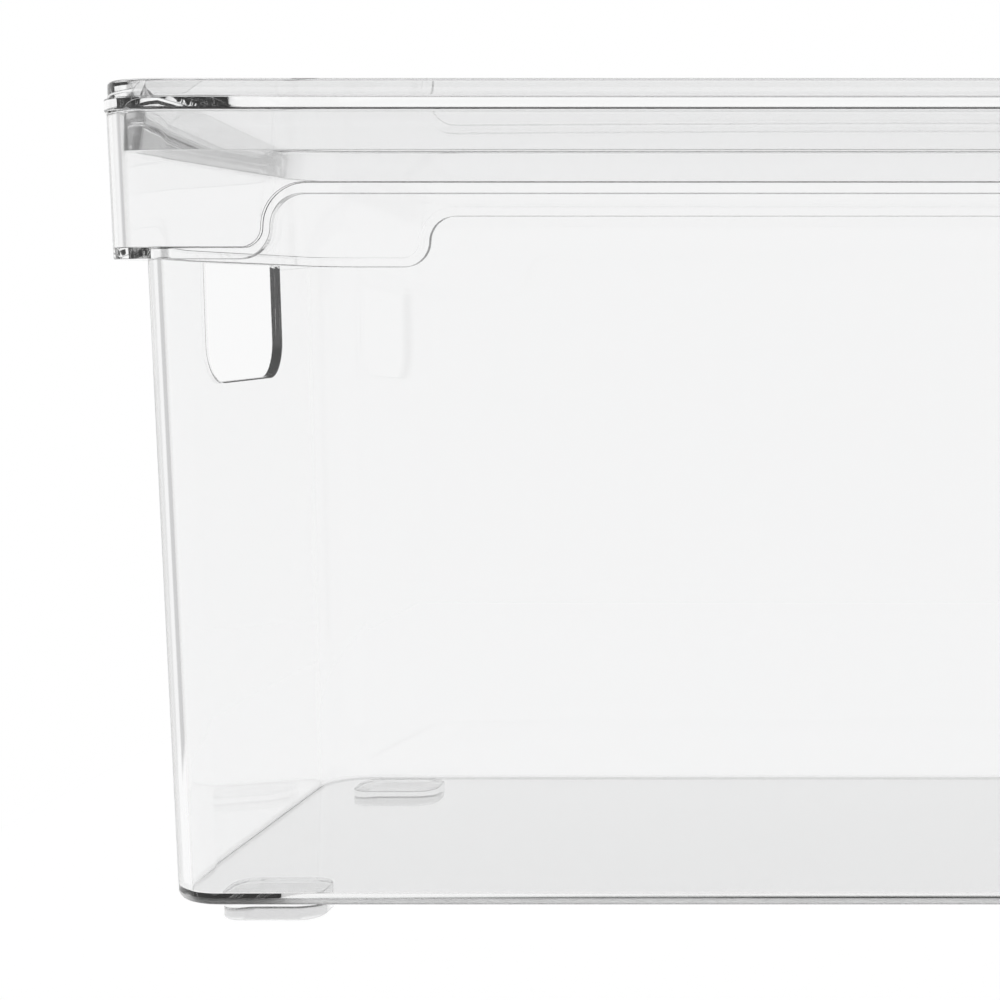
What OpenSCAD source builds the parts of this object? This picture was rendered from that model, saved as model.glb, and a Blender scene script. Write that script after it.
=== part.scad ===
// Clear stackable storage bin with a lift-off lid, in millimetres.
// The origin is on the surface that the bin stands on, at the middle of its plan.
// +X runs along the bin's length, +Y across it and +Z up.

/* [Bin] */
// Half of the collar's outside length at the rim
rim_half_x = 191.6; // [150:0.1:240]
// Half of the collar's outside width at the rim
rim_half_y = 63.9; // [58:0.1:90]
// Corner radius of the collar at the rim
rim_corner = 17; // [14:0.5:24]
// Height of the rim above the ground
rim_z = 175.3; // [172:0.1:200]
// Half of the tub's outside length at its underside
base_half_x = 177.5; // [140:0.1:225]
// Half of the tub's outside width at its underside
base_half_y = 55.6; // [50:0.1:80]
// Corner radius of the tub at its underside
base_corner = 9.5; // [8:0.5:16]
// Thickness of every wall
wall = 2.6; // [2:0.1:3.2]
// Thickness of the floor
floor_thick = 2.3; // [2:0.1:3.5]
// Width of the bevel round the bottom edge
bottom_bevel = 0.8; // [0.4:0.1:1.2]
// Outward lean of the walls, in degrees
draft_deg = 2; // [1.5:0.1:2.2]

/* [Collar] */
// Height of the collar's lower edge at the ends and corners
end_ledge_z = 143.6; // [135:0.1:146]
// Height of the collar's lower edge along the long sides
side_ledge_z = 157.5; // [155:0.1:162]
// Half of the length over which the long sides' higher edge is straight
side_ledge_half = 144.5; // [100:0.5:150]
// Thickness of the ledge between the tub and the collar
ledge_thick = 2.5; // [2:0.1:3]

/* [Finger holes] */
// Width of the finger hole in each end wall
finger_width = 48; // [35:1:60]
// Height of the hole's lower edge
finger_bottom_z = 115.5; // [105:0.5:120]
// Radius of the hole's two lower corners
finger_corner = 9; // [5:0.5:11]

/* [Lid] */
// How far the flange stands out past the bin's rim
flange_proud = 0.5; // [0:0.1:1]
// Thickness of the flange
flange_thick = 2.8; // [2:0.1:3.2]
// How far the raised edge is set in from the flange's outer edge
edge_setback = 0.7; // [0.4:0.1:1]
// Height of the raised edge above the flange
edge_height = 3.8; // [3:0.1:5]
// Width of the bevel on the raised edge's outer corner
edge_bevel = 0.7; // [0.3:0.1:0.9]
// Width of the raised edge's flat top
edge_top = 1.2; // [1:0.1:2]
// Lean of the raised edge's inner face from upright, in degrees
edge_slope_deg = 30; // [0:1:40]
// Clearance between the skirt and the inside of the collar
skirt_clearance = 0.55; // [0.4:0.05:1]
// Depth of the skirt below the flange
skirt_depth = 8.4; // [5:0.1:9]
// Thickness of the skirt at its lower edge
skirt_wall = 2.6; // [2:0.1:3]
// Lean of the skirt's inner face from upright, in degrees
skirt_slope_deg = 9.5; // [0:0.1:14]

/* [Feet] */
// Height of each foot
foot_height = 4; // [3:0.1:5]
// Length of each foot along the bin
foot_length = 22.3; // [15:0.1:26]
// Width of each foot across the bin
foot_width = 14.3; // [10:0.1:18]
// How far each foot's outer end is from the middle of the bin's length
foot_end_x = 166.5; // [130:0.1:166.5]
// How far each foot's outer side is set in from the tub's bottom edge
foot_inset = 2.8; // [2:0.1:5]
// Radius of each foot's upright corners
foot_corner = 5; // [3:0.1:6]
// Width of the bevel round the bottom of each foot
foot_bevel = 1; // [0.5:0.1:1.2]

/* [Hidden] */
$fn = 96;

clear_plastic = [0.93, 0.95, 0.96, 0.45];
lean = tan(draft_deg);
base_z = foot_height;
floor_z = base_z + floor_thick;
// The cutters run this far past the faces that they open
past = 1;
skirt_bottom_z = rim_z - skirt_depth;
flange_top_z = rim_z + flange_thick;
lid_top_z = flange_top_z + edge_height;
flange_half_x = rim_half_x + flange_proud;
flange_half_y = rim_half_y + flange_proud;
flange_corner = rim_corner + flange_proud;
edge_half_x = flange_half_x - edge_setback;
edge_half_y = flange_half_y - edge_setback;
edge_corner = flange_corner - edge_setback;
// The skirt stands clear of the leaning collar at the skirt's own lower edge
skirt_inset = wall + skirt_clearance + skirt_depth * lean;
skirt_half_x = rim_half_x - skirt_inset;
skirt_half_y = rim_half_y - skirt_inset;
skirt_corner = rim_corner - skirt_inset;
skirt_lean = tan(skirt_slope_deg);
// The raised edge's inner face meets the flange this far in from its outer face
tray_inset = edge_top + edge_height * tan(edge_slope_deg);
foot_side_y = base_half_y - foot_inset;
// The cutters of the finger holes start this far out and are this long
end_cut_start_x = base_half_x - 6;
end_cut_length = 16;
// The outline that cuts the ledge reaches this far past the bin on every side
margin = 10;

// A block with rounded upright corners whose faces all lean out by slope per unit of
// height, corners included, so the corners widen with height.
// half_x, half_y and corner are measured at the height z0.
module leaning_block(half_x, half_y, corner, z0, z1, slope) {
  height = z1 - z0;
  corner_low = to_micron(corner);
  corner_high = to_micron(corner + height * slope);
  centre_x = to_micron(half_x - corner);
  centre_y = to_micron(half_y - corner);
  for (side_x = [-1, 1], side_y = [-1, 1])
    translate([side_x * centre_x, side_y * centre_y, z0])
      cylinder(h = height, r1 = corner_low, r2 = corner_high);
  leaning_prism(centre_x + corner_low, centre_x + corner_high, height, centre_y, z0);
  rotate([0, 0, 90])
    leaning_prism(centre_y + corner_low, centre_y + corner_high, height, centre_x, z0);
}

// A size to the nearest micron, so that cones and prisms meet without slivers
function to_micron(size) = round(size * 1000) / 1000;

// A trapezium in XZ, extruded along Y to half_depth on both sides
module leaning_prism(half_low, half_high, height, half_depth, z0) {
  translate([0, 0, z0])
    rotate([90, 0, 0])
      translate([0, 0, -half_depth])
        linear_extrude(height = 2 * half_depth)
          polygon([
            [-half_low, 0], [half_low, 0],
            [half_high, height], [-half_high, height]
          ]);
}

// A leaning block with the draft angle, given by its size at the height z_ref
module drafted_block(half_x, half_y, corner, z_ref, z0, z1) {
  change = (z0 - z_ref) * lean;
  leaning_block(half_x + change, half_y + change, corner + change, z0, z1, lean);
}

// The space above the collar's lower edge, raised by lift. On each long side the
// edge steps up between the corners and the middle in an S of two quarter circles.
module above_ledge(lift, top_z) {
  radius = (side_ledge_z - end_ledge_z) / 2;
  bend_z = end_ledge_z + radius;
  far_x = rim_half_x + margin;
  far_y = rim_half_y + margin;
  rotate([90, 0, 0])
    translate([0, 0, -far_y])
      linear_extrude(height = 2 * far_y)
        difference() {
          translate([-far_x, end_ledge_z + lift])
            square([2 * far_x, top_z - end_ledge_z - lift]);
          translate([-side_ledge_half, end_ledge_z + lift - past])
            square([2 * side_ledge_half, side_ledge_z - end_ledge_z + past]);
          for (side = [-1, 1])
            translate([side * side_ledge_half, bend_z])
              ledge_step(side, radius, lift);
        }
}

// What the S takes away beside the straight stretch: a quarter disc and the corner below it
module ledge_step(side, radius, lift) {
  outer = radius + lift;
  inner = radius - lift;
  intersection() {
    circle(r = outer);
    translate([side > 0 ? 0 : -outer, 0])
      square([outer, outer]);
  }
  difference() {
    translate([side > 0 ? 0 : -2 * radius, -inner - past])
      square([2 * radius, inner + past]);
    translate([side * 2 * radius, 0])
      circle(r = inner);
    translate([side > 0 ? outer : -2 * radius - past, -inner - 2 * past])
      square([inner + past, past * 2]);
  }
}

module tub_outside() {
  leaning_block(
    base_half_x - bottom_bevel, base_half_y - bottom_bevel, base_corner - bottom_bevel,
    base_z, base_z + bottom_bevel, 1 + lean
  );
  drafted_block(base_half_x, base_half_y, base_corner, base_z, base_z + bottom_bevel, rim_z);
}

module tub_inside() {
  drafted_block(
    base_half_x - wall, base_half_y - wall, base_corner - wall,
    base_z, floor_z, rim_z + past
  );
}

module collar_outside() {
  intersection() {
    drafted_block(rim_half_x, rim_half_y, rim_corner, rim_z, end_ledge_z, rim_z);
    above_ledge(0, rim_z + past);
  }
}

module collar_inside() {
  intersection() {
    drafted_block(
      rim_half_x - wall, rim_half_y - wall, rim_corner - wall,
      rim_z, end_ledge_z, rim_z + past
    );
    above_ledge(ledge_thick, rim_z + 2 * past);
  }
}

// The hole that runs through both end walls, just under the ledge
module finger_holes() {
  half = finger_width / 2;
  for (side = [-1, 1])
    translate([side * end_cut_start_x, 0, 0])
      rotate([90, 0, 90])
        translate([0, 0, side > 0 ? 0 : -end_cut_length])
          linear_extrude(height = end_cut_length) {
            translate([-half, finger_bottom_z + finger_corner])
              square([finger_width, end_ledge_z - finger_bottom_z - finger_corner]);
            translate([-half + finger_corner, finger_bottom_z])
              square([finger_width - 2 * finger_corner, finger_corner + past]);
            for (corner_side = [-1, 1])
              translate([corner_side * (half - finger_corner), finger_bottom_z + finger_corner])
                circle(r = finger_corner);
          }
}

module bin_body() {
  color(clear_plastic)
    difference() {
      union() {
        tub_outside();
        collar_outside();
      }
      tub_inside();
      collar_inside();
      finger_holes();
    }
}

module lid() {
  color(clear_plastic)
    difference() {
      union() {
        leaning_block(flange_half_x, flange_half_y, flange_corner, rim_z, flange_top_z, 0);
        leaning_block(
          edge_half_x, edge_half_y, edge_corner,
          flange_top_z - past, lid_top_z - edge_bevel, 0
        );
        leaning_block(
          edge_half_x, edge_half_y, edge_corner,
          lid_top_z - edge_bevel, lid_top_z, -1
        );
        leaning_block(
          skirt_half_x, skirt_half_y, skirt_corner,
          skirt_bottom_z, rim_z + past, 0
        );
      }
      // The shallow tray inside the raised edge, which takes the feet of the bin above
      leaning_block(
        edge_half_x - tray_inset, edge_half_y - tray_inset, edge_corner - tray_inset,
        flange_top_z, lid_top_z + past, tan(edge_slope_deg)
      );
      // The space inside the skirt, which narrows upwards
      leaning_block(
        skirt_half_x - skirt_wall + past * skirt_lean,
        skirt_half_y - skirt_wall + past * skirt_lean,
        skirt_corner - skirt_wall + past * skirt_lean,
        skirt_bottom_z - past, rim_z, -skirt_lean
      );
    }
}

// A foot in the quarter that side_x and side_y give, under the tub's floor
module foot(side_x, side_y) {
  centre_x = side_x * (foot_end_x - foot_length / 2);
  centre_y = side_y * (foot_side_y - foot_width / 2);
  color(clear_plastic)
    translate([centre_x, centre_y, 0]) {
      leaning_block(
        foot_length / 2 - foot_bevel, foot_width / 2 - foot_bevel, foot_corner - foot_bevel,
        0, foot_bevel, 1
      );
      leaning_block(
        foot_length / 2, foot_width / 2, foot_corner,
        foot_bevel, foot_height, 0
      );
    }
}

module foot_front_left() { foot(-1, -1); }
module foot_front_right() { foot(1, -1); }
module foot_back_left() { foot(-1, 1); }
module foot_back_right() { foot(1, 1); }

bin_body();
lid();
foot_front_left();
foot_front_right();
foot_back_left();
foot_back_right();
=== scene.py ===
"""A clear stackable storage bin with a lift-off lid, in metres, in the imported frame.

The tub, the lid and the four feet are each lofted as one closed solid: rings of points run
round a rounded rectangle, and each ring is one step of the moulding's rounded section.
"""

import math

import bmesh
import bpy
from mathutils import Matrix, Vector


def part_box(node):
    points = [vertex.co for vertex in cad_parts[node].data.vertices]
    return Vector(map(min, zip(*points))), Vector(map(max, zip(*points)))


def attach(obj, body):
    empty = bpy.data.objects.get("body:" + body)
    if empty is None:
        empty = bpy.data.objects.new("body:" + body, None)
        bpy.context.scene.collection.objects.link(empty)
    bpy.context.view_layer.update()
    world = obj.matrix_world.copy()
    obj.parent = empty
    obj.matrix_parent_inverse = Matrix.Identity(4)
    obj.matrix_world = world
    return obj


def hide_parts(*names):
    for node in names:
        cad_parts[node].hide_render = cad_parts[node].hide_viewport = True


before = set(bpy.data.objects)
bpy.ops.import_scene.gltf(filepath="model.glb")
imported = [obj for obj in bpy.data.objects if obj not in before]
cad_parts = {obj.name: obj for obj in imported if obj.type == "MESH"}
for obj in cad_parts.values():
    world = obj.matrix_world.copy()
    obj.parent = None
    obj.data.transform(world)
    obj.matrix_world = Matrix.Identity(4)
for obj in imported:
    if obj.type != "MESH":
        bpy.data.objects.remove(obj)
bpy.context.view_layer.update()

MM = 0.001

# ---- Sizes that the CAD nodes' boxes give ----
BODY_LOW, BODY_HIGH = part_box("bin_body")
LID_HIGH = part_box("lid")[1]
BASE_Z = BODY_LOW.z
RIM_Z = BODY_HIGH.z

# ---- Sizes of the tub, as in the CAD model but for its corner at the base ----
LEAN = math.tan(math.radians(2))
RIM_CORNER = 17 * MM
BASE_HALF_X = 177.5 * MM
BASE_HALF_Y = 55.6 * MM
# This radius holds all the way up, where the CAD model's corner widens with height
BASE_CORNER = 12 * MM
WALL = 2.6 * MM
FLOOR_THICK = 2.3 * MM
END_LEDGE_Z = 143.6 * MM
SIDE_LEDGE_Z = 157.5 * MM
SIDE_LEDGE_HALF = 144.5 * MM
LEDGE_THICK = 2.5 * MM
FINGER_HALF = 24 * MM
FINGER_BOTTOM_Z = 115.5 * MM
FINGER_CORNER = 9 * MM

# ---- Sizes of the lid, as in the CAD model ----
FLANGE_THICK = 2.8 * MM
FLANGE_CORNER = 17.5 * MM
EDGE_SETBACK = 0.7 * MM
SKIRT_WALL = 2.6 * MM
SKIRT_CLEARANCE = 0.55 * MM
SKIRT_DEPTH = 8.4 * MM
SKIRT_SLOPE = math.radians(9.5)
EDGE_TOP = 1.2 * MM
EDGE_SLOPE = math.radians(30)

# ---- Small roundings of the moulded edges, most of which the CAD model leaves sharp ----
FINE_ROUND = 0.25 * MM
EDGE_ROUND = 0.5 * MM
FLOOR_ROUND = 0.4 * MM
BOTTOM_ROUND = 1.8 * MM
TOP_ROUND = 0.7 * MM
CRISP_ROUND = 0.12 * MM
FLANGE_ROUND = 0.5 * MM
FOOT_CORNER = 5 * MM
FOOT_ROUND = 0.5 * MM
# A hair's gap keeps faces that rest on each other from lying in one plane
HAIR = 0.04 * MM

# ---- The plastic ----
TINT = (0.95, 0.951, 0.952)
PLASTIC_INDEX = 1.5
# The feet are taken as bonded to the tub, which would hide their upper faces, and a low
# refractive index stands in for that
BOND_INDEX = 1.35
# Roughness from the best polished patches to the dullest
BIN_POLISH = (0, 0.02)
EDGE_POLISH = (0.3, 0.4)
LID_POLISH = (0, 0.015)
FOOT_POLISH = (0.03, 0.1)
# Depths of the flow waves and of the grain
WAVE_DEPTH = 0.02 * MM
LID_WAVE_DEPTH = 0.01 * MM
FINE_GRAIN = 0.0002 * MM
FOOT_GRAIN = 0.001 * MM
# About how many waves of each noise pattern lie in a metre, and its detail
PATCH_SCALE, PATCH_DETAIL = 30, 4
WAVE_SCALE, WAVE_DETAIL = 14, 1
GRAIN_SCALE, GRAIN_DETAIL = 2500, 2
# The values of the patches' noise that stand for the best polish and for the dullest
PATCH_LOW, PATCH_HIGH = 0.45, 0.75

# ---- The light table and the room ----
TABLE_LENGTH = 0.5
TABLE_WIDTH = 0.8
TABLE_GREY = 0.15
TABLE_GLOW = 0.975
ROOM_GLOW = 1.0
# (place, grey) stops, on the sine of the height above the horizon
CEILING = [(0.15, 1), (0.24, 0.76), (0.5, 0.1), (1, 0.1)]
# (place, grey) stops, on the bearing as a share of half a turn
FLAGS = [(0.34, 1), (0.37, 0.6), (0.47, 0.6), (0.5, 1)]
# The sine at which the flags' lower ends are, and the span above it over which they set in
FLAGS_END = -0.255
FLAGS_FADE = 0.02
# More bounces than this would wash out the dark line under the lid
MOST_BOUNCES = 12

# ---- The camera, from the photograph's perspective: its sensor and lens are in mm ----
CAMERA_DISTANCE = 0.487
CAMERA_HEIGHT = 0.1358
SENSOR_WIDTH = 36
LENS = 72
SHIFT_ACROSS = -0.484
SHIFT_UP = -0.2045
NEAREST_SEEN = 0.01

# ---- Fineness of the meshes ----
ARC_STEPS = 6
BEND_STEPS = 14
ROUND_STEPS = 5
OUTLINE_STEPS = 16
CORNER_STEPS = 40
SIDE_STEPS = 12
END_STEPS = 6
# How much of a turn's steps lie on the straight before the corner
STRAIGHT_SHARE = 0.1
# How far the lid's section runs on past its last bends, before the flat fill
SECTION_RUN = 2 * MM
# How far the finger hole's cutter reaches past each face of the wall
CUTTER_REACH = 0.1 * MM
# How far the hole's rounded lip turns before it runs straight out
CUTTER_LIP = math.radians(78)
# Edges that are sharper than this stay sharp in the shading
SHARP_EDGE = math.radians(35)
# How strongly the large faces rule the shading, out of 100
FACE_WEIGHT = 100
# Faces whose normal has a height below this count as the underside
UNDERSIDE_NORMAL = -0.99


class Plan:
    """A rounded rectangle whose sides lean out with height; its corners keep their radius."""

    def __init__(self, half_x, half_y, corner, z_ref, lean):
        self.half_x = half_x
        self.half_y = half_y
        self.corner = corner
        self.z_ref = z_ref
        self.lean = lean

    def centre(self, z):
        """The centre of the corner's arc at the height z."""
        growth = (z - self.z_ref) * self.lean - self.corner
        return self.half_x + growth, self.half_y + growth

    def at_x(self, x, z, outset):
        """The point of the long side, or of the start of its corner, that has this x."""
        centre_x, centre_y = self.centre(z)
        radius = self.corner + outset
        past = max(0.0, x - centre_x)
        return x, centre_y + math.sqrt(radius * radius - past * past)

    def in_turn(self, share, start_x, z, outset):
        """A point between the long side's point at start_x and the end of the corner."""
        centre_x, centre_y = self.centre(z)
        radius = self.corner + outset
        if share < STRAIGHT_SHARE:
            run = centre_x - start_x
            return start_x + run * share / STRAIGHT_SHARE, centre_y + radius
        angle = math.pi / 2 * (1 - share) / (1 - STRAIGHT_SHARE)
        return centre_x + radius * math.cos(angle), centre_y + radius * math.sin(angle)

    def on_end(self, share, z, outset):
        """A point between the end of the corner and the middle of the end."""
        centre_x, centre_y = self.centre(z)
        return centre_x + self.corner + outset, centre_y * (1 - share)


BEND_RADIUS = (SIDE_LEDGE_Z - END_LEDGE_Z) / 2
BEND_Z = END_LEDGE_Z + BEND_RADIUS
BENDS_END_X = SIDE_LEDGE_HALF + 2 * BEND_RADIUS

TUB = Plan(BASE_HALF_X, BASE_HALF_Y, BASE_CORNER, BASE_Z, LEAN)
COLLAR = Plan(BODY_HIGH.x, BODY_HIGH.y, RIM_CORNER, RIM_Z, LEAN)
FLANGE = Plan(LID_HIGH.x, LID_HIGH.y, FLANGE_CORNER, 0, 0)


def quarter_stations():
    """The places where each ring has a point, from the middle of a long side (x = 0) to
    the middle of an end (y = 0), as (kind, share) pairs."""
    stations = [("side", step / SIDE_STEPS) for step in range(SIDE_STEPS)]
    stations += [("upper_bend", step / BEND_STEPS) for step in range(BEND_STEPS)]
    stations += [("lower_bend", step / BEND_STEPS) for step in range(BEND_STEPS)]
    stations += [("turn", step / CORNER_STEPS) for step in range(CORNER_STEPS)]
    stations += [("end", step / END_STEPS) for step in range(END_STEPS + 1)]
    return stations


def ledge_point(station, lift):
    """(x, z) of the ledge's line at a station, moved by lift square to that line."""
    kind, share = station
    if kind == "side":
        return share * SIDE_LEDGE_HALF, SIDE_LEDGE_Z + lift
    angle = share * math.pi / 2
    if kind == "upper_bend":
        radius = BEND_RADIUS + lift
        return (SIDE_LEDGE_HALF + radius * math.sin(angle),
                BEND_Z + radius * math.cos(angle))
    if kind == "lower_bend":
        radius = BEND_RADIUS - lift
        return BENDS_END_X - radius * math.cos(angle), BEND_Z - radius * math.sin(angle)
    return None, END_LEDGE_Z + lift


def plan_point(plan, station, x, z, outset):
    """(x, y) of a plan's point at a station: x counts only along the side and its bends."""
    kind, share = station
    if kind == "turn":
        return plan.in_turn(share, BENDS_END_X, z, outset)
    if kind == "end":
        return plan.on_end(share, z, outset)
    return plan.at_x(x, z, outset)


def level_ring(plan, outset, z):
    """A quarter of a level ring."""
    ring = []
    for station in quarter_stations():
        x, _ = ledge_point(station, 0)
        ring.append((*plan_point(plan, station, x, z, outset), z))
    return ring


def ledge_ring(plan, outset, lift):
    """A quarter of a ring that follows the ledge's line, lift above it."""
    ring = []
    for station in quarter_stations():
        x, z = ledge_point(station, lift)
        ring.append((*plan_point(plan, station, x, z, outset), z))
    return ring


def mirrored(quarter):
    """The whole closed ring that a quarter ring stands for."""
    back = quarter[::-1]
    return (
        quarter
        + [(x, -y, z) for x, y, z in back[1:]]
        + [(-x, -y, z) for x, y, z in quarter[1:]]
        + [(-x, y, z) for x, y, z in back[1:-1]]
    )


def quarter_arc():
    """(1 - cos, 1 - sin) pairs through a quarter turn, which shape every rounded edge."""
    angles = [step / ARC_STEPS * math.pi / 2 for step in range(ARC_STEPS + 1)]
    return [(1 - math.cos(angle), 1 - math.sin(angle)) for angle in angles]


def tub_rings():
    """The tub's section from the middle of its underside, over the rim, to its floor."""
    arc = quarter_arc()
    floor_z = BASE_Z + FLOOR_THICK
    rings = [level_ring(TUB, -BOTTOM_ROUND * back, BASE_Z + BOTTOM_ROUND * rise)
             for rise, back in arc]
    # The tub's wall turns out into the ledge's underside, then up into the collar
    rings += [ledge_ring(TUB, CRISP_ROUND * out, -CRISP_ROUND * down) for out, down in arc]
    rings += [ledge_ring(COLLAR, -CRISP_ROUND * back, CRISP_ROUND * rise) for rise, back in arc]
    # Over the rim
    rings += [level_ring(COLLAR, -EDGE_ROUND * back, RIM_Z - EDGE_ROUND * down)
              for back, down in arc]
    rings += [level_ring(COLLAR, -WALL + FINE_ROUND * out, RIM_Z - FINE_ROUND * down)
              for down, out in arc]
    # Down the collar's inside, in along the ledge and down the tub's inside
    rings += [ledge_ring(COLLAR, -WALL - FINE_ROUND * back, LEDGE_THICK + FINE_ROUND * rise)
              for back, rise in arc]
    rings += [ledge_ring(TUB, -WALL + FINE_ROUND * out, LEDGE_THICK - FINE_ROUND * down)
              for down, out in arc]
    rings += [level_ring(TUB, -WALL - FLOOR_ROUND * back, floor_z + FLOOR_ROUND * rise)
              for back, rise in arc]
    return [mirrored(ring) for ring in rings]


def closed_mesh(name, rings):
    """A closed solid: each ring is joined to the next, and the first and last are filled."""
    mesh = bmesh.new()
    rows = [[mesh.verts.new(point) for point in ring] for ring in rings]
    count = len(rows[0])
    for low, high in zip(rows, rows[1:]):
        for here in range(count):
            after = (here + 1) % count
            mesh.faces.new((low[here], low[after], high[after], high[here]))
    mesh.faces.new(rows[0][::-1])
    mesh.faces.new(rows[-1])
    bmesh.ops.recalc_face_normals(mesh, faces=mesh.faces)
    data = bpy.data.meshes.new(name)
    mesh.to_mesh(data)
    mesh.free()
    piece = bpy.data.objects.new(name, data)
    bpy.context.scene.collection.objects.link(piece)
    return piece


def rounded_line(corners):
    """Points along a line whose corners, given as (across, up, radius), are rounded."""
    line = []
    for index, (across, up, radius) in enumerate(corners):
        here = Vector((across, up))
        if radius == 0 or index in (0, len(corners) - 1):
            line.append(here)
            continue
        before = (Vector(corners[index - 1][:2]) - here).normalized()
        after = (Vector(corners[index + 1][:2]) - here).normalized()
        half_angle = before.angle(after) / 2
        reach = radius / math.tan(half_angle)
        centre = here + (before + after).normalized() * radius / math.sin(half_angle)
        start = here + before * reach - centre
        end = here + after * reach - centre
        sweep = start.angle_signed(end)
        for step in range(ROUND_STEPS + 1):
            turn = -sweep * step / ROUND_STEPS
            cos, sin = math.cos(turn), math.sin(turn)
            line.append(centre + Vector((start.x * cos - start.y * sin,
                                         start.x * sin + start.y * cos)))
    return line


def plain_ring(plan, outset):
    """A quarter of a ring of an upright plan that has no ledge."""
    z = plan.z_ref
    centre_x, _ = plan.centre(z)
    ring = [plan.at_x(centre_x * step / SIDE_STEPS, z, outset) for step in range(SIDE_STEPS)]
    for step in range(CORNER_STEPS):
        share = STRAIGHT_SHARE + (1 - STRAIGHT_SHARE) * step / CORNER_STEPS
        ring.append(plan.in_turn(share, centre_x, z, outset))
    ring += [plan.on_end(step / END_STEPS, z, outset) for step in range(END_STEPS + 1)]
    return ring


def section_rings(plan, line):
    """Rings from a section line of (outset, z) points."""
    return [mirrored([(x, y, z) for x, y in plain_ring(plan, outset)]) for outset, z in line]


def lid_section():
    """The lid's section from the middle of its underside to the middle of its top."""
    skirt_inset = WALL + SKIRT_CLEARANCE + SKIRT_DEPTH * LEAN + (LID_HIGH.x - BODY_HIGH.x)
    skirt_inner = skirt_inset + SKIRT_WALL
    skirt_root = skirt_inner + SKIRT_DEPTH * math.tan(SKIRT_SLOPE)
    low_z = RIM_Z + HAIR
    skirt_z = RIM_Z - SKIRT_DEPTH
    flange_z = RIM_Z + FLANGE_THICK
    top_z = LID_HIGH.z
    top_inset = EDGE_SETBACK + EDGE_TOP
    edge_foot = top_inset + (top_z - flange_z) * math.tan(EDGE_SLOPE)
    return rounded_line([
        (-skirt_root - SECTION_RUN, low_z, 0),
        (-skirt_root, low_z, CRISP_ROUND),
        (-skirt_inner, skirt_z, CRISP_ROUND),
        (-skirt_inset, skirt_z, CRISP_ROUND),
        (-skirt_inset, low_z, CRISP_ROUND),
        (0, low_z, FLANGE_ROUND),
        (0, flange_z, CRISP_ROUND),
        (-EDGE_SETBACK, flange_z, CRISP_ROUND),
        (-EDGE_SETBACK, top_z, TOP_ROUND),
        (-top_inset, top_z, CRISP_ROUND),
        (-edge_foot, flange_z, CRISP_ROUND),
        (-edge_foot - SECTION_RUN, flange_z, 0),
    ])


def finger_outline(flare, top_z):
    """The finger hole's outline as (y, z) points, widened by flare except at its top."""
    radius = FINGER_CORNER + flare
    centre_y = FINGER_HALF - FINGER_CORNER
    centre_z = FINGER_BOTTOM_Z + FINGER_CORNER
    side = [(FINGER_HALF + flare, top_z)]
    for step in range(OUTLINE_STEPS + 1):
        angle = math.pi / 2 * step / OUTLINE_STEPS
        side.append((centre_y + radius * math.cos(angle), centre_z - radius * math.sin(angle)))
    return side + [(-y, z) for y, z in side[::-1]]


def finger_cutter(name, side):
    """A closed solid that cuts one finger hole and rounds its rim on both faces of the wall."""
    top_z = END_LEDGE_Z - FINE_ROUND
    # Each ring's depth in the wall, and its flare beyond the hole's own outline
    depths = []
    for step in range(ROUND_STEPS + 1):
        angle = CUTTER_LIP * (1 - step / ROUND_STEPS)
        depths.append((EDGE_ROUND * (1 - math.sin(angle)), EDGE_ROUND * (1 - math.cos(angle))))
    first_depth, first_flare = depths[0]
    run = first_depth + CUTTER_REACH
    depths.insert(0, (-CUTTER_REACH, first_flare + run * math.tan(CUTTER_LIP)))
    # The inner face's lip mirrors the outer face's
    depths += [(WALL - depth, flare) for depth, flare in depths[::-1]]
    rings = []
    for depth, flare in depths:
        ring = []
        for y, z in finger_outline(flare, top_z):
            x = BASE_HALF_X + (z - BASE_Z) * LEAN - depth
            ring.append((side * x, y, z))
        rings.append(ring)
    return closed_mesh(name, rings)


def cut(piece, cutter):
    """Takes the cutter's shape out of the piece, and removes the cutter."""
    step = piece.modifiers.new("finger_hole", "BOOLEAN")
    step.operation = "DIFFERENCE"
    step.solver = "EXACT"
    step.object = cutter
    graph = bpy.context.evaluated_depsgraph_get()
    result = bpy.data.meshes.new_from_object(piece.evaluated_get(graph))
    piece.modifiers.clear()
    piece.data = result
    bpy.data.objects.remove(cutter)


def shade(piece, material):
    """Smooth shading whose normals stay true on the large flat faces."""
    mesh = piece.data
    mesh.polygons.foreach_set("use_smooth", [True] * len(mesh.polygons))
    mesh.set_sharp_from_angle(angle=SHARP_EDGE)
    normals = piece.modifiers.new("face_weighted_normals", "WEIGHTED_NORMAL")
    normals.mode = "FACE_AREA"
    normals.weight = FACE_WEIGHT
    normals.keep_sharp = True
    mesh.materials.clear()
    mesh.materials.append(material)


def noise(nodes, links, place, scale, detail):
    """The value of a noise pattern with about scale waves in a metre."""
    pattern = nodes.new("ShaderNodeTexNoise")
    pattern.inputs["Scale"].default_value = scale
    pattern.inputs["Detail"].default_value = detail
    links.new(place.outputs["Object"], pattern.inputs["Vector"])
    return pattern.outputs[0]


def relief(nodes, links, height, depth, below=None):
    """A bump of the given depth, in metres, laid over the bump below it."""
    bump = nodes.new("ShaderNodeBump")
    bump.inputs["Strength"].default_value = 1.0
    bump.inputs["Distance"].default_value = depth
    links.new(height, bump.inputs["Height"])
    if below:
        links.new(below, bump.inputs["Normal"])
    return bump.outputs[0]


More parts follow.
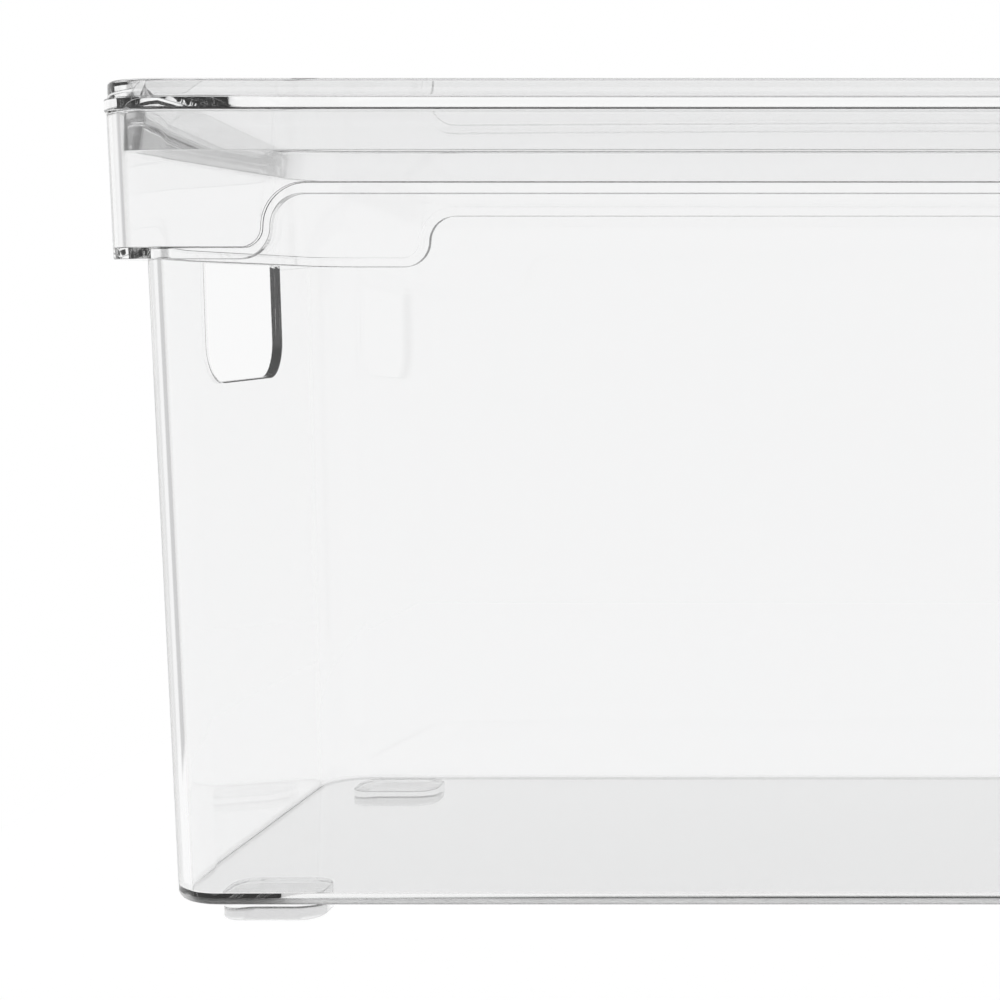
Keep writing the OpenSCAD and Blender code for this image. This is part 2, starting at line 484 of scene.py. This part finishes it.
def clear_plastic(name, index, polish_range, wave_depth, grain_depth):
    """Clear moulded plastic: patches of duller polish, long shallow waves left by the flow
    of the melt, and a very fine grain."""
    material = bpy.data.materials.new(name)
    material.use_nodes = True
    nodes = material.node_tree.nodes
    links = material.node_tree.links
    shader = nodes["Principled BSDF"]
    shader.inputs["Base Color"].default_value = (*TINT, 1)
    shader.inputs["IOR"].default_value = index
    shader.inputs["Transmission Weight"].default_value = 1.0
    place = nodes.new("ShaderNodeTexCoord")
    polish = nodes.new("ShaderNodeMapRange")
    polish.inputs["From Min"].default_value = PATCH_LOW
    polish.inputs["From Max"].default_value = PATCH_HIGH
    polish.inputs["To Min"].default_value = polish_range[0]
    polish.inputs["To Max"].default_value = polish_range[1]
    patches = noise(nodes, links, place, PATCH_SCALE, PATCH_DETAIL)
    links.new(patches, polish.inputs["Value"])
    links.new(polish.outputs[0], shader.inputs["Roughness"])
    flow = noise(nodes, links, place, WAVE_SCALE, WAVE_DETAIL)
    grain = noise(nodes, links, place, GRAIN_SCALE, GRAIN_DETAIL)
    waves = relief(nodes, links, flow, wave_depth)
    links.new(relief(nodes, links, grain, grain_depth, waves), shader.inputs["Normal"])
    return material


def make_bin(material, edge_material):
    """The tub, with a finger hole in each end."""
    tub = closed_mesh("clear_tub", tub_rings())
    for side in (-1, 1):
        cut(tub, finger_cutter("finger_cutter", side))
    shade(tub, material)
    # The rounded bottom edge has a duller finish
    tub.data.materials.append(edge_material)
    for face in tub.data.polygons:
        if face.center.z < BASE_Z + BOTTOM_ROUND and face.normal.z > UNDERSIDE_NORMAL:
            face.material_index = 1
    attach(tub, "bin")
    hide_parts("bin_body")


def make_lid(material):
    """The lid: its section carried round the flange's outline."""
    lid = closed_mesh("clear_lid", section_rings(FLANGE, lid_section()))
    shade(lid, material)
    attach(lid, "lid")
    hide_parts("lid")


def make_foot(node, material):
    """A foot pad in the place of one of the CAD nodes."""
    low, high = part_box(node)
    centre = (low + high) / 2
    half = (high - low) / 2
    plan = Plan(half.x, half.y, FOOT_CORNER, 0, 0)
    inner = -FOOT_CORNER + FOOT_ROUND
    line = rounded_line([
        (inner, low.z, 0),
        (0, low.z, FOOT_ROUND),
        (0, high.z - HAIR, FINE_ROUND),
        (inner, high.z - HAIR, 0),
    ])
    foot = closed_mesh("clear_" + node, section_rings(plan, line))
    foot.data.transform(Matrix.Translation((centre.x, centre.y, 0)))
    shade(foot, material)
    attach(foot, "bin")
    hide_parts(node)


def make_stage():
    """A light table: it glows about as white as the room, and its dull surface still takes
    shadows."""
    bpy.ops.mesh.primitive_plane_add(size=1, location=(0, 0, -HAIR / 2))
    table = bpy.context.object
    table.name = "light_table"
    table.scale = (TABLE_LENGTH, TABLE_WIDTH, 1)
    material = bpy.data.materials.new("light_table")
    material.use_nodes = True
    shader = material.node_tree.nodes["Principled BSDF"]
    shader.inputs["Base Color"].default_value = (TABLE_GREY, TABLE_GREY, TABLE_GREY, 1)
    shader.inputs["Roughness"].default_value = 1.0
    shader.inputs["Specular IOR Level"].default_value = 0.0
    shader.inputs["Emission Color"].default_value = (1, 1, 1, 1)
    shader.inputs["Emission Strength"].default_value = TABLE_GLOW
    table.data.materials.append(material)


def grey_ramp(nodes, stops):
    """A colour ramp through (position, grey) stops."""
    ramp = nodes.new("ShaderNodeValToRGB")
    elements = ramp.color_ramp.elements
    while len(elements) < len(stops):
        elements.new(0.5)
    for element, (position, grey) in zip(elements, stops):
        element.position = position
        element.color = (grey, grey, grey, 1)
    return ramp


def maths(nodes, links, operation, first, second):
    """The result of a Math node on two sockets or numbers."""
    step = nodes.new("ShaderNodeMath")
    step.operation = operation
    for socket, value in zip(step.inputs, (first, second)):
        if isinstance(value, (int, float)):
            socket.default_value = value
        else:
            links.new(value, socket)
    return step.outputs[0]


def make_light():
    """A white room with a darker ceiling, and with a tall grey flag far off on each side.
    They are out of the camera's sight, and they draw the edges of the clear plastic."""
    world = bpy.data.worlds.new("studio")
    bpy.context.scene.world = world
    world.use_nodes = True
    nodes = world.node_tree.nodes
    links = world.node_tree.links
    place = nodes.new("ShaderNodeTexCoord")
    way = nodes.new("ShaderNodeSeparateXYZ")
    links.new(place.outputs["Generated"], way.inputs[0])
    # The ceiling darkens with the sine of the height above the horizon
    ceiling = grey_ramp(nodes, CEILING)
    links.new(way.outputs["Z"], ceiling.inputs[0])
    # The flags lie at a bearing from straight ahead, given as a share of half a turn
    bearing = maths(nodes, links, "ARCTAN2", way.outputs["X"], way.outputs["Y"])
    share = maths(nodes, links, "DIVIDE", bearing, math.pi)
    flags = grey_ramp(nodes, FLAGS)
    links.new(maths(nodes, links, "ABSOLUTE", share, 0), flags.inputs[0])
    # Below their lower ends the room is white again
    below_flags = nodes.new("ShaderNodeMapRange")
    below_flags.inputs["From Min"].default_value = FLAGS_END
    below_flags.inputs["From Max"].default_value = FLAGS_END + FLAGS_FADE
    below_flags.inputs["To Min"].default_value = 1.0
    below_flags.inputs["To Max"].default_value = 0.0
    links.new(way.outputs["Z"], below_flags.inputs["Value"])
    sides = maths(nodes, links, "MAXIMUM", flags.outputs[0], below_flags.outputs[0])
    links.new(maths(nodes, links, "MULTIPLY", ceiling.outputs[0], sides),
              nodes["Background"].inputs["Color"])
    nodes["Background"].inputs["Strength"].default_value = ROOM_GLOW


def make_camera():
    """Level and square to the bin's front, from in front of its middle."""
    camera = bpy.data.objects.new("camera", bpy.data.cameras.new("camera"))
    bpy.context.scene.collection.objects.link(camera)
    bpy.context.scene.camera = camera
    camera.location = (0, -CAMERA_DISTANCE, CAMERA_HEIGHT)
    camera.rotation_euler = (math.radians(90), 0, 0)
    camera.data.sensor_width = SENSOR_WIDTH
    camera.data.lens = LENS
    camera.data.shift_x = SHIFT_ACROSS
    camera.data.shift_y = SHIFT_UP
    camera.data.clip_start = NEAREST_SEEN


bin_plastic = clear_plastic("bin_plastic", PLASTIC_INDEX, BIN_POLISH, WAVE_DEPTH, FINE_GRAIN)
edge_plastic = clear_plastic("bin_edge_plastic", PLASTIC_INDEX, EDGE_POLISH, WAVE_DEPTH, FINE_GRAIN)
lid_plastic = clear_plastic("lid_plastic", PLASTIC_INDEX, LID_POLISH, LID_WAVE_DEPTH, FINE_GRAIN)
foot_plastic = clear_plastic("foot_plastic", BOND_INDEX, FOOT_POLISH, WAVE_DEPTH, FOOT_GRAIN)
make_bin(bin_plastic, edge_plastic)
make_lid(lid_plastic)
for name in sorted(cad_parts):
    if name.startswith("foot_"):
        make_foot(name, foot_plastic)
make_stage()
make_light()
make_camera()
bpy.context.scene.view_settings.view_transform = "Standard"
bpy.context.scene.cycles.max_bounces = MOST_BOUNCES
bpy.context.scene.cycles.transmission_bounces = MOST_BOUNCES
bpy.context.scene.cycles.glossy_bounces = MOST_BOUNCES
